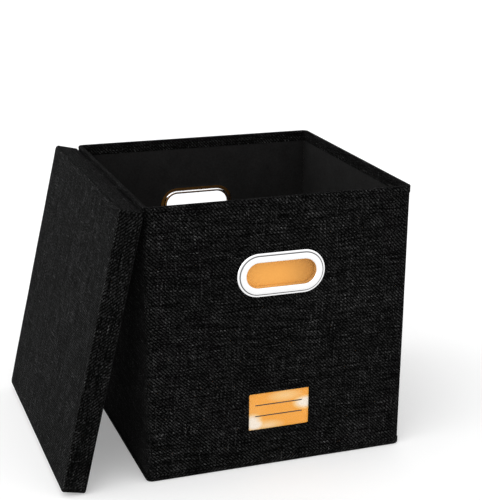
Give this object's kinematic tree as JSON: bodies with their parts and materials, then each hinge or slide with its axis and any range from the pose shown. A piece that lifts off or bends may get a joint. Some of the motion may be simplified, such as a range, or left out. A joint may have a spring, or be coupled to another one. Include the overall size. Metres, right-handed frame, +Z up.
{
  "type": "record carrying case",
  "caption": "Fabric-wrapped board carrying case for vinyl records, with metal-rimmed hand holes, a label pocket and a loose lid leaning on its side.",
  "frame": {"origin": "middle of the case's underside, on the floor", "axes": "+Z up, -Y towards the front with the label, -X towards the side that the lid leans on"},
  "size_m": [0.429, 0.3358, 0.3351],
  "materials": {
    "fabric": "linen-like twill, near black with lighter slubs",
    "fabric_binding": "the same cloth, folded and glued",
    "lining": "thin non-woven sheet, black",
    "board": "dense grey-brown board, hidden",
    "grip_metal": "polished chrome plate",
    "pocket_frame": "black cloth-faced frame",
    "pocket_window": "clear film",
    "label_paper": "orange card",
    "divider_board": "orange coated card"
  },
  "bodies": {
    "case": {"front_board": "board", "front_lining": "lining", "back_board": "board", "back_lining": "lining", "left_board": "board", "left_lining": "lining", "right_board": "board", "right_lining": "lining", "base_board": "board", "base_lining": "lining", "side_cover": "fabric", "rim_binding": "fabric_binding", "base_band": "fabric_binding", "base_cover": "fabric_binding", "front_grip": "grip_metal", "front_grip_backing": "grip_metal", "back_grip": "grip_metal", "back_grip_backing": "grip_metal", "label_frame": "pocket_frame", "label_window": "pocket_window"},
    "lid": {"lid_cover": "fabric", "lid_front_skirt": "board", "lid_front_turn_in": "fabric_binding", "lid_back_skirt": "board", "lid_back_turn_in": "fabric_binding", "lid_left_skirt": "board", "lid_left_turn_in": "fabric_binding", "lid_right_skirt": "board", "lid_right_turn_in": "fabric_binding", "lid_top_board": "board", "lid_lining": "lining"},
    "label_card": {"label_card": "label_paper"},
    "divider": {"divider_card": "divider_board"}
  },
  "joints": [
    {"name": "lid_tip", "type": "hinge", "parent": "case", "child": "lid", "pos_m": [-0.26583, 0, 0.00111], "axis": [0, -1, 0], "range_deg": [0, 102.73]},
    {"name": "label_card_slide", "type": "slide", "parent": "case", "child": "label_card", "axis": [0, 0, 1], "range_m": [0, 0.06]},
    {"name": "divider_card_slide", "type": "slide", "parent": "case", "child": "divider", "axis": [0, 0, 1], "range_m": [0, 0.33]}
  ]
}
